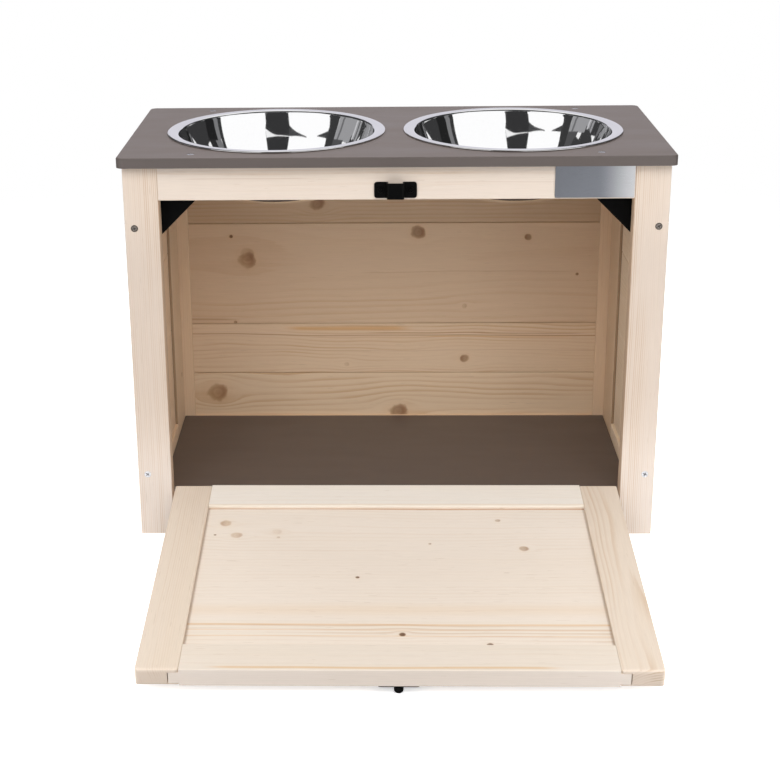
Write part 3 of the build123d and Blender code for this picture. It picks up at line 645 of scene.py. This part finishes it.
# Painted shade and light: the floor panel's copy of the top board's finish is darker and warmer,
# for the shade and the warm bounced light inside the cabinet.
FLOOR_TAUPE_SHADE = stained_board("stained_floor", (0.97, 0.91, 0.86), 1.0)
BLACK = black_metal("black_hardware")
GUSSET_BLACK = black_metal("black_gusset", colour=0.002, rough=(0.5, 0.65), gloss=0.03)
SCREW_STEEL = steel("screw_steel", (0.62, 0.62, 0.64), 0.22, 0.38, (900.0, 900.0, 900.0), 0.1)
DARK_SCREW_SHADED_RIM = steel("dark_screw", (0.085, 0.070, 0.060), 0.34, 0.50, (900.0, 900.0, 900.0), 0.1,
                   ring=(LEG_X, HIGH_SCREW_Z, 0.004))
PLATE = steel("plate_brushed", (0.20, 0.21, 0.235), 0.26, 0.36, (60.0, 5000.0, 5000.0), 0.02,
              fade=(0.215, 0.262, (0.56, 0.565, 0.58)))

put("top_board", TAUPE)
put("floor_panel", FLOOR_TAUPE_SHADE)
put("blank_plate", PLATE)
for name in ("corner_gusset_left", "corner_gusset_right"):
    put(name, GUSSET_BLACK)
for name in (
    "latch_keeper", "keeper_screws", "gusset_screws", "bolt_plate", "bolt_rod", "bolt_handle",
    "bolt_screws", "hinge_door_screws", "hinge_frame_screws", "hinge_fixed_leaf_left",
    "hinge_fixed_leaf_right", "hinge_moving_leaf_left", "hinge_moving_leaf_right",
    "hinge_pin_left", "hinge_pin_right",
):
    put(name, BLACK)
for name in ("front_leg_screws", "back_leg_screws", "top_screws", "cleat_screws"):
    put(name, SCREW_STEEL)

# ------------------------------------------------------------------ bowls


def bowl_steel():
    """Polished stainless steel."""
    material, t, shader = shade("stainless_steel")
    place = t.place()
    scratch = t.noise(place, 500.0, 4.0, 0.7)
    shader.inputs["Metallic"].default_value = 1.0
    bright = t.mix(scratch, rgba(0.88, 0.88, 0.885), rgba(0.83, 0.83, 0.835))
    t.feed(bright, shader.inputs["Base Color"])
    t.feed(t.ramp(scratch, 0.3, 0.7, 0.03, 0.06, smooth=False), shader.inputs["Roughness"])
    return material


def lathe(name, profile, centre, segments=192):
    """A closed surface of revolution about a vertical axis, from (radius, height) points."""
    mesh = bmesh.new()
    rings = []
    for radius, height in profile:
        if radius < 1e-6:
            rings.append([mesh.verts.new((centre[0], centre[1], height))])
            continue
        rings.append([
            mesh.verts.new((
                centre[0] + radius * math.cos(2 * math.pi * step / segments),
                centre[1] + radius * math.sin(2 * math.pi * step / segments),
                height,
            ))
            for step in range(segments)
        ])
    for inner, outer in zip(rings, rings[1:]):
        for step in range(segments):
            after = (step + 1) % segments
            if len(inner) == 1:
                mesh.faces.new((inner[0], outer[step], outer[after]))
            elif len(outer) == 1:
                mesh.faces.new((inner[step], outer[0], inner[after]))
            else:
                mesh.faces.new((inner[step], outer[step], outer[after], inner[after]))
    bmesh.ops.recalc_face_normals(mesh, faces=mesh.faces)
    made = add_object(name, mesh)
    for polygon in made.data.polygons:
        polygon.use_smooth = True
    return made


BOWL_DEPTH, WALL = 0.071, 0.001   # from the top board down to the base, and the steel
BASE_R, BEND = 0.060, 0.030       # the flat base, and the bend from it to the wall
MOUTH_R, RIM_R, RIM_WIDTH, RIM_RISE = 0.112, 0.125, 0.0105, 0.0024
SEAT_GAP = 0.0003                 # between the top board and the rim's rolled hem
HEM = 0.0020                      # the hem's width
ROLL_RISE = 0.0010                # from the top board to the hem's widest line
BEND_LEAN = math.radians(36)      # where the bend ends and the gently curved wall begins


def arc(centre, radius, start, end, steps):
    """Points of an arc, from one angle to another."""
    return [
        (
            centre[0] + radius * math.cos(start + (end - start) * k / steps),
            centre[1] + radius * math.sin(start + (end - start) * k / steps),
        )
        for k in range(steps + 1)
    ]


def bowl_side(offset):
    """The bowl's line from its middle to under the rim, moved outwards by an offset."""
    base = TOP_Z - BOWL_DEPTH + WALL - offset
    bend = BEND + offset
    points = [(0.0, base), (BASE_R * 0.5, base)]
    points += arc((BASE_R, base + bend), bend, -math.pi / 2, -BEND_LEAN, 14)
    start, top = points[-1], (MOUTH_R + offset, TOP_Z - WALL - offset)
    across, rise = top[0] - start[0], top[1] - start[1]
    turn = 2 * (BEND_LEAN - math.atan2(across, rise))
    swell = math.hypot(across, rise) / (2 * math.sin(turn / 2))
    centre = (start[0] - swell * math.cos(BEND_LEAN), start[1] + swell * math.sin(BEND_LEAN))
    return points + arc(centre, swell, -BEND_LEAN, -BEND_LEAN + turn, 24)[1:]


def bowl_profile():
    """The bowl's whole section: its inside, over the rim, under its hem, and its outside."""
    inside = bowl_side(0.0)
    crown_r = RIM_R - RIM_WIDTH / 2
    half = RIM_WIDTH / 2
    outer_z = TOP_Z + ROLL_RISE
    rise = TOP_Z + RIM_RISE - outer_z
    foot, climb = TOP_Z - WALL, RIM_RISE + WALL
    rim = [
        (crown_r - (crown_r - MOUTH_R) * math.cos(math.pi * k / 40),
         foot + climb * math.sin(math.pi * k / 40))
        for k in range(1, 21)
    ] + [
        (crown_r + half * math.sin(math.pi * k / 24), outer_z + rise * math.cos(math.pi * k / 24))
        for k in range(1, 13)
    ]
    under = [
        (RIM_R - 0.0001, TOP_Z + 0.0007), (RIM_R - 0.0005, TOP_Z + SEAT_GAP + 0.0001),
        (RIM_R - 0.0011, TOP_Z + SEAT_GAP), (RIM_R - 0.0017, TOP_Z + SEAT_GAP + 0.0001),
        (RIM_R - HEM, TOP_Z + 0.0007),
    ] + [
        (crown_r + (half - HEM) * math.cos(math.pi * k / 10),
         outer_z + (rise - WALL) * math.sin(math.pi * k / 10))
        for k in range(1, 9)
    ]
    outside = list(reversed(bowl_side(WALL)))
    return inside + rim + under + outside


STEEL = bowl_steel()
for side, word in ((-1, "left"), (1, "right")):
    made = lathe(f"steel_bowl_{word}", bowl_profile(), (side * BOWL_X, CABINET_Y))
    made.data.materials.append(STEEL)
    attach(made, f"bowl_{word}")
    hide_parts(f"bowl_{word}")

# ------------------------------------------------------------------ screws

# The cross recess, in parts of the head's flat radius.
RECESS = [
    (0.13, 0.62), (0.13, 0.13), (0.62, 0.13), (0.62, -0.13), (0.13, -0.13), (0.13, -0.62),
    (-0.13, -0.62), (-0.13, -0.13), (-0.62, -0.13), (-0.62, 0.13), (-0.13, 0.13), (-0.13, 0.62),
]


def add_screw(mesh, at, out, sizes, pan, sink, twist, material_index):
    """A screw with a cross recess. at is the middle of its seat and out points from its head;
    sizes are the radii of head and shank and the length, in millimetres; pan is for a domed
    head, not a flat one; sink is how deep the head sits and twist how the recess is turned."""
    head, shank, length = [size / 1000 for size in sizes]
    turn = out.to_track_quat("Z", "Y").to_matrix()
    if pan:
        flat = 0.0022
        rings = [
            (flat, 0.0020), (0.0026, 0.00178), (0.0029, 0.0014), (head, 0.0007), (head, 0.0),
            (shank, 0.0), (shank, -length + shank), (0.0, -length),
        ]
    else:
        flat = head - 0.0002
        rings = [
            (flat, 0.0), (head, -0.00015), (head, -0.0003), (shank, -0.0003 - head + shank),
            (shank, -length + shank), (0.0, -length),
        ]
    count = 32

    def vertex(x, y, z):
        return mesh.verts.new(at + turn @ Vector((x, y, z - sink)))

    made = []
    circles = []
    for radius, height in rings:
        if radius == 0.0:
            circles.append([vertex(0.0, 0.0, height)])
            continue
        circles.append([
            vertex(
                radius * math.cos(2 * math.pi * k / count),
                radius * math.sin(2 * math.pi * k / count), height,
            )
            for k in range(count)
        ])
    for one, two in zip(circles, circles[1:]):
        for k in range(count):
            after = (k + 1) % count
            if len(two) == 1:
                made.append(mesh.faces.new((one[k], two[0], one[after])))
            else:
                made.append(mesh.faces.new((one[k], two[k], two[after], one[after])))
    cosine, sine = math.cos(twist), math.sin(twist)
    top = rings[0][1]

    def outline(scale, height):
        return [
            vertex(
                (x * cosine - y * sine) * flat * scale, (x * sine + y * cosine) * flat * scale,
                height,
            )
            for x, y in RECESS
        ]

    mouth, bottom = outline(1.0, top), outline(0.6, top - flat * 0.75)
    corners = len(RECESS)
    loop = [mesh.edges.get((circles[0][k], circles[0][(k + 1) % count])) for k in range(count)]
    loop += [mesh.edges.new((mouth[k], mouth[(k + 1) % corners])) for k in range(corners)]
    filled = bmesh.ops.triangle_fill(mesh, use_beauty=True, edges=loop)
    made += [item for item in filled["geom"] if isinstance(item, bmesh.types.BMFace)]
    for k in range(corners):
        after = (k + 1) % corners
        made.append(mesh.faces.new((mouth[k], bottom[k], bottom[after], mouth[after])))
    made.append(mesh.faces.new(bottom))
    for face in made:
        face.material_index = material_index


def screws(name, node, body, materials, items):
    """One piece that shows all the screws of a CAD node; each item is as in add_screw()."""
    mesh = bmesh.new()
    for item in items:
        add_screw(mesh, *item)
    bmesh.ops.recalc_face_normals(mesh, faces=mesh.faces)
    made = add_object(name, mesh)
    for material in materials:
        made.data.materials.append(material)
    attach(made, body)
    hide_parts(node)


FRAME_SCREW, TOP_SCREW, PAN_SCREW = (4.0, 1.9, 42.0), (4.0, 1.9, 30.0), (3.2, 1.4, 12.0)
TOP_SCREW_X, TOP_SCREW_Y = 0.221, 0.1255
KEEPER_SCREW_X, KEEPER_Z, KEEPER_SHEET = 0.01615, 0.408, 0.0014
# Of the screws of the legs, only the upper ones in front are dark, their rims painted
# shade where the heads sit sunken.
for name, face_y, out, upper_tone in (
    ("front_leg_screws", FRONT_Y, -Y, 1), ("back_leg_screws", BACK_Y, Y, 0),
):
    screws("steel_" + name, name, "cabinet", (SCREW_STEEL, DARK_SCREW_SHADED_RIM), [
        (Vector((side * LEG_X, face_y, height)), out, FRAME_SCREW, False, 0.0003,
         0.3 + 1.7 * side + height * 9, tone)
        for side in (-1, 1) for height, tone in ((LOW_SCREW_Z, 0), (HIGH_SCREW_Z, upper_tone))
    ])
screws("steel_top_screws", "top_screws", "cabinet", (SCREW_STEEL,), [
    (Vector((side * TOP_SCREW_X, CABINET_Y + at, TOP_Z)), Z, TOP_SCREW, False, 0.0002,
     0.5 * side + at * 11, 0)
    for side in (-1, 1) for at in (-TOP_SCREW_Y, TOP_SCREW_Y)
])
screws("black_keeper_screws", "keeper_screws", "cabinet", (BLACK,), [
    (Vector((side * KEEPER_SCREW_X, FRONT_Y - KEEPER_SHEET, KEEPER_Z)), -Y, PAN_SCREW, True,
     0.0, 0.4 * side, 0)
    for side in (-1, 1)
])

# ------------------------------------------------------------------ studio


def area(name, place, target, size, power, colour=WHITE):
    """A lamp with a rectangular face that mirrors don't show: bright metal shows the cards
    and the world instead."""
    data = bpy.data.lights.new(name, "AREA")
    data.shape = "RECTANGLE"
    data.size, data.size_y = size
    data.energy = power
    data.color = colour
    lamp = bpy.data.objects.new(name, data)
    lamp.location = place
    lamp.rotation_euler = (Vector(target) - Vector(place)).to_track_quat("-Z", "Y").to_euler()
    lamp.visible_glossy = False
    scene.collection.objects.link(lamp)


AIM = Vector((0.0, CABINET_Y - 0.1, 0.22))        # what the lamps point at
BOUNCE_BLUE = (0.90, 0.95, 1.0)


def around(azimuth, elevation, distance, centre=AIM):
    """A point seen from the centre: azimuth 0 is in front, positive to the right."""
    az, el = math.radians(azimuth), math.radians(elevation)
    return centre + Vector((
        math.sin(az) * math.cos(el), -math.cos(az) * math.cos(el), math.sin(el),
    )) * distance


for name, azimuth, elevation, distance, size, power in (
    ("front_middle", 0, 38, 2.4, (2.4, 1.3), 14.5),
    ("front_high", 0, 48, 2.4, (2.4, 1.3), 19.5),
    ("softbox_left", -50, 30, 2.2, (1.9, 1.9), 12.0),
    ("softbox_right", 50, 30, 2.2, (1.9, 1.9), 9.0),
    ("overhead", 0, 88, 2.4, (2.4, 2.0), 15.5),
    ("back_left", -140, 35, 2.4, (1.6, 1.6), 13.0),
    ("back_right", 140, 35, 2.4, (1.6, 1.6), 13.0),
):
    area(name, around(azimuth, elevation, distance), AIM, size, power)
for side, word, power in ((-1, "left", 0.49), (1, "right", 1.01)):
    area(
        f"floor_bounce_{word}", (side * 0.62, -0.42, 0.09), (side * 0.18, CABINET_Y, 0.10),
        (0.35, 0.15), power, BOUNCE_BLUE,
    )

# ------------------------------------------------------------------ what the steel reflects

CARD_RADIUS = 3.0
CARD_CENTRE = Vector((0.0, CABINET_Y, TOP_Z))
NEAR_REACH = 1.45
WALL_REACH = 0.10        # from a bowl's middle to the part of its wall that mirrors a card
LAYER_GAP = 0.01         # each layer of cards stands so much nearer than the last
LOW, HIGH = -18, 62      # elevations of the lower and upper ends of most cards
COOL = (1.0, 1.0, 1.03)
BACK_WALL = (0.73, 0.72, 0.785)


def far_point(azimuth, elevation, layer):
    """A point of the studio's wall, in a direction seen from the top board's middle."""
    return around(azimuth, elevation, CARD_RADIUS - LAYER_GAP * layer, CARD_CENTRE)


def near_point(azimuth, elevation, layer):
    """A nearer point, in a direction seen from where the left bowl's wall mirrors it."""
    az = math.radians(azimuth)
    wall = Vector((
        -BOWL_X - WALL_REACH * math.sin(az), CABINET_Y + WALL_REACH * math.cos(az), TOP_Z,
    ))
    return around(azimuth, elevation, NEAR_REACH - LAYER_GAP * layer, wall)


def along(line, share):
    """A point part of the way along a line of (azimuth, elevation) points."""
    place = share * (len(line) - 1)
    k = min(int(place), len(line) - 2)
    return [a + (b - a) * (place - k) for a, b in zip(line[k], line[k + 1])]


def card(name, first, second, value, colour=COOL, layer=0, place=far_point):
    """A panel of the studio that only mirrors see: a patch of a curved wall round the bowls,
    between two lines of (azimuth, elevation) points in degrees. They are its left and right
    sides, from low to high, or its lower and upper edges."""
    tall, steps = 4 * (len(first) - 1), 24
    mesh = bmesh.new()
    rows = []
    for j in range(tall + 1):
        one, two = along(first, j / tall), along(second, j / tall)
        rows.append([
            mesh.verts.new(place(
                one[0] + (two[0] - one[0]) * i / steps, one[1] + (two[1] - one[1]) * i / steps,
                layer,
            ))
            for i in range(steps + 1)
        ])
    for low, high in zip(rows, rows[1:]):
        for i in range(steps):
            mesh.faces.new((low[i], low[i + 1], high[i + 1], high[i]))
    made = add_object(name, mesh)
    made.visible_camera = False
    made.visible_diffuse = False
    made.visible_transmission = False
    made.visible_volume_scatter = False
    made.visible_shadow = False
    material = bpy.data.materials.new(name)
    material.use_nodes = True
    t = Tree(material.node_tree)
    material.node_tree.nodes.clear()
    light = t.node("ShaderNodeEmission")
    light.inputs["Color"].default_value = rgba(*[value * k for k in colour])
    t.feed(light.outputs[0], t.node("ShaderNodeOutputMaterial").inputs["Surface"])
    made.data.materials.append(material)


# The two softboxes make one white field; the dark room's end stands in front of its middle.
FIELD_RIGHT = ((73, LOW), (76.5, 17), (79, 23), (82.5, 29), (85.5, 34), (90, 47), (94, 64))
FIELD_LEFT = ((-65, LOW), (-68, 17), (-72, 22.5), (-71.5, 27), (-76.5, 32), (-84, 45), (-90, HIGH))
ROOM_RIGHT = ((17.5, LOW), (17.8, 16), (18, 22), (18.1, 27.4), (20, 32), (21, 45), (21.5, 60))
ROOM_LEFT = (
    (-10.5, LOW), (-11.8, 16), (-12.3, 22), (-14, 28), (-16.5, 33), (-15.5, 46), (-14.5, 60)
)
card("softboxes", FIELD_LEFT, FIELD_RIGHT, 1.15, WHITE)
card("room", ROOM_LEFT, ROOM_RIGHT, 0.038, layer=1, place=near_point)
card(
    "notch", ((20, 31.5), (14.5, 34.1), (9.5, 35.8), (4.5, 36.7), (-5.5, 36.9), (-17, 36.9)),
    ((20, 38), (14.5, 37.9), (9.5, 37.8), (4.5, 37.6), (-5.5, 37.5), (-17, 37.4)), 1.0, WHITE,
    layer=2, place=near_point,
)
card(
    "boom", ((-43, 34.2), (-34, 33.8), (-26, 33.1), (-20, 31.7), (-15, 29.8)),
    ((-43, 34.8), (-34, 35.3), (-26, 36.0), (-20, 36.7), (-15, 37.0)), 0.07, layer=3,
    place=near_point,
)
card("arm", ((-74, 23.5), (-74, 28.4)), ((-59, 30.8), (-59, 31.3)), 0.06, layer=2)

card(
    "left_edge", ((-82.5, LOW), (-83, 14), (-83.7, 22), (-85, 27), (-92, 40), (-100, HIGH)),
    ((-65, LOW), (-67.5, 14), (-72, 22), (-71.8, 27), (-81, 40), (-90, HIGH)), 0.045, layer=1,
)
card("left_grey", ((-123, LOW), (-123, 14)), ((-82, LOW), (-84, 25.5)), 0.36)
card("left_low", ((-99, 19.5), (-106, 44)), ((-84, 25), (-90, 44)), 0.09)
card("left_stripe", ((-90, LOW), (-91, 23)), ((-87.5, LOW), (-88.5, 24)), 0.16, layer=1)
card("left_light", ((-114, LOW), (-114, 16)), ((-111.5, LOW), (-111.5, 17)), 0.62, layer=1)
card("left_line", ((-118.5, LOW), (-118.5, 14)), ((-116.5, LOW), (-116.5, 15)), 0.13, layer=1)
card("left_dark", ((-134, LOW), (-134, 10)), ((-122, LOW), (-122, 14)), 0.05, layer=1)
card("left_far", ((-158, LOW), (-158, 13)), ((-133, LOW), (-133, 13)), 0.17)
card("left_high", ((-158, 12), (-158, HIGH)), ((-110, 13.8), (-110, HIGH)), 0.05, layer=1)
card("left_upper", ((-110, 17), (-110, HIGH)), ((-106, 18.5), (-106, HIGH)), 0.05)
card("left_over", ((-107, 22.5), (-107, HIGH)), ((-98, 23.5), (-98, HIGH)), 0.05)

card(
    "right_edge", ((73, LOW), (76, 15), (78.5, 21), (82, 28), (86, 35), (93, HIGH)),
    ((81.5, LOW), (81.5, 15), (85, 23), (87.5, 28), (91, 35), (97, HIGH)), 0.04, layer=1,
)
card("right_band", ((81, LOW), (81.3, 15), (87, 27.5)), ((87, LOW), (88, 15), (94, 26)), 0.22)
card(
    "right_black", ((87, LOW), (88, 15), (93, 26.3)), ((101, LOW), (102, 13), (108, 21.5)),
    0.018, layer=1,
)
card(
    "right_grey", ((101, LOW), (101.5, 13), (108, 21.5)), ((154, LOW), (154, 13), (154, 17)),
    0.045,
)
card("right_low", ((88, 27), (93, 48)), ((98, 24), (104, 48)), 0.20)
card("right_foot", ((97, 24.3), (103, 48)), ((107, 20.5), (113, 48)), 0.03, layer=1)
card("right_high", ((113, 20), (113, HIGH)), ((154, 16), (154, HIGH)), 0.045)
card("right_over", ((104, 27), (104, HIGH)), ((114, 27), (114, HIGH)), 0.045)
for number in range(4):
    high = 6.5 + 3.2 * number
    card(f"lamp_{number}", ((143, high), (143, high + 1.2)), ((144.5, high), (144.5, high + 1.2)),
         0.8, layer=2)
card("ceiling", ((-180, HIGH), (-180, 89.9)), ((180, HIGH), (180, 89.9)), 0.06)
card("back_wall", ((154, -2), (154, 40)), ((206, -2), (206, 40)), 1.0, BACK_WALL)

# ------------------------------------------------------------------ world and floor


def seen_directly(tree):
    """1 for a ray from the camera, a mirror or glass; 0 for one that carries light on."""
    path = tree.node("ShaderNodeLightPath").outputs
    return tree.math(
        "MAXIMUM", path["Is Camera Ray"],
        tree.math("MAXIMUM", path["Is Glossy Ray"], path["Is Transmission Ray"]),
    )


def white_background(tree, strength):
    made = tree.node("ShaderNodeBackground")
    made.inputs["Color"].default_value = rgba(*WHITE)
    made.inputs["Strength"].default_value = strength
    return made.outputs[0]


world = bpy.data.worlds.new("studio")
world.use_nodes = True
scene.world = world
wt = Tree(world.node_tree)
world.node_tree.nodes.clear()
blend = wt.node("ShaderNodeMixShader")
wt.feed(seen_directly(wt), blend.inputs[0])
wt.feed(white_background(wt, 0.08), blend.inputs[1])
wt.feed(white_background(wt, 1.0), blend.inputs[2])
wt.feed(blend.outputs[0], wt.node("ShaderNodeOutputWorld").inputs["Surface"])

FLOOR_HALF, FLOOR_Z = 3.0, -0.0002
floor_mesh = bpy.data.meshes.new("floor")
floor_mesh.from_pydata(
    [(x * FLOOR_HALF, y * FLOOR_HALF, FLOOR_Z) for x, y in ((-1, -1), (1, -1), (1, 1), (-1, 1))],
    [], [(0, 1, 2, 3)],
)
floor = bpy.data.objects.new("floor", floor_mesh)
scene.collection.objects.link(floor)
floor_material, ft, floor_shader = shade("floor_white")
floor_shader.inputs["Base Color"].default_value = rgba(0.92, 0.92, 0.92)
floor_shader.inputs["Roughness"].default_value = 0.9
floor_shader.inputs["Specular IOR Level"].default_value = 0.0
glow = ft.math("MULTIPLY", seen_directly(ft), 0.60)
ft.feed(glow, floor_shader.inputs["Emission Strength"])
floor_shader.inputs["Emission Color"].default_value = rgba(1.0, 1.0, 1.0)
# The floor fades into the white round it before the lamps' light falls off.
reach = ft.node("ShaderNodeVectorMath", operation="LENGTH")
ft.feed(ft.place(), reach.inputs[0])
fade = ft.node("ShaderNodeMixShader")
ft.feed(ft.ramp(reach.outputs["Value"], 0.9, 1.9), fade.inputs[0])
ft.feed(floor_shader.outputs[0], fade.inputs[1])
ft.feed(ft.node("ShaderNodeBsdfTransparent").outputs[0], fade.inputs[2])
ft.feed(fade.outputs[0], floor_material.node_tree.nodes["Material Output"].inputs["Surface"])
floor_mesh.materials.append(floor_material)

# ------------------------------------------------------------------ camera

# The photo's own camera: lengths in the photo's pixels, turns in degrees, place in metres.
FOCAL_PX, CENTRE_PX = 1601.234, (335.289, 351.758)
PICTURE_PX = (780.0, 781.0)
YAW, PITCH, ROLL = (math.radians(angle) for angle in (-1.6863, 19.1956, -0.6862))
CAMERA_PLACE = (-0.0173025, CABINET_Y - 1.8217138, 0.8108597)
SENSOR_WIDTH = 36.0
camera_data = bpy.data.cameras.new("camera")
camera = bpy.data.objects.new("camera", camera_data)
scene.collection.objects.link(camera)
scene.camera = camera
forward = Vector((
    math.sin(YAW) * math.cos(PITCH), math.cos(YAW) * math.cos(PITCH), -math.sin(PITCH),
))
level_right = Vector((math.cos(YAW), -math.sin(YAW), 0.0))
level_up = level_right.cross(forward)
right = level_right * math.cos(ROLL) + level_up * math.sin(ROLL)
up = level_up * math.cos(ROLL) - level_right * math.sin(ROLL)
rotation = Matrix((right, up, -forward)).transposed().to_4x4()
camera.matrix_world = Matrix.Translation(CAMERA_PLACE) @ rotation
camera_data.sensor_width = SENSOR_WIDTH
camera_data.lens = FOCAL_PX * SENSOR_WIDTH / PICTURE_PX[1]
camera_data.shift_x = (PICTURE_PX[0] / 2 - CENTRE_PX[0]) / PICTURE_PX[1]
camera_data.shift_y = (CENTRE_PX[1] - PICTURE_PX[1] / 2) / PICTURE_PX[1]
camera_data.dof.use_dof = False

scene.view_settings.view_transform = "Standard"
bpy.context.view_layer.update()
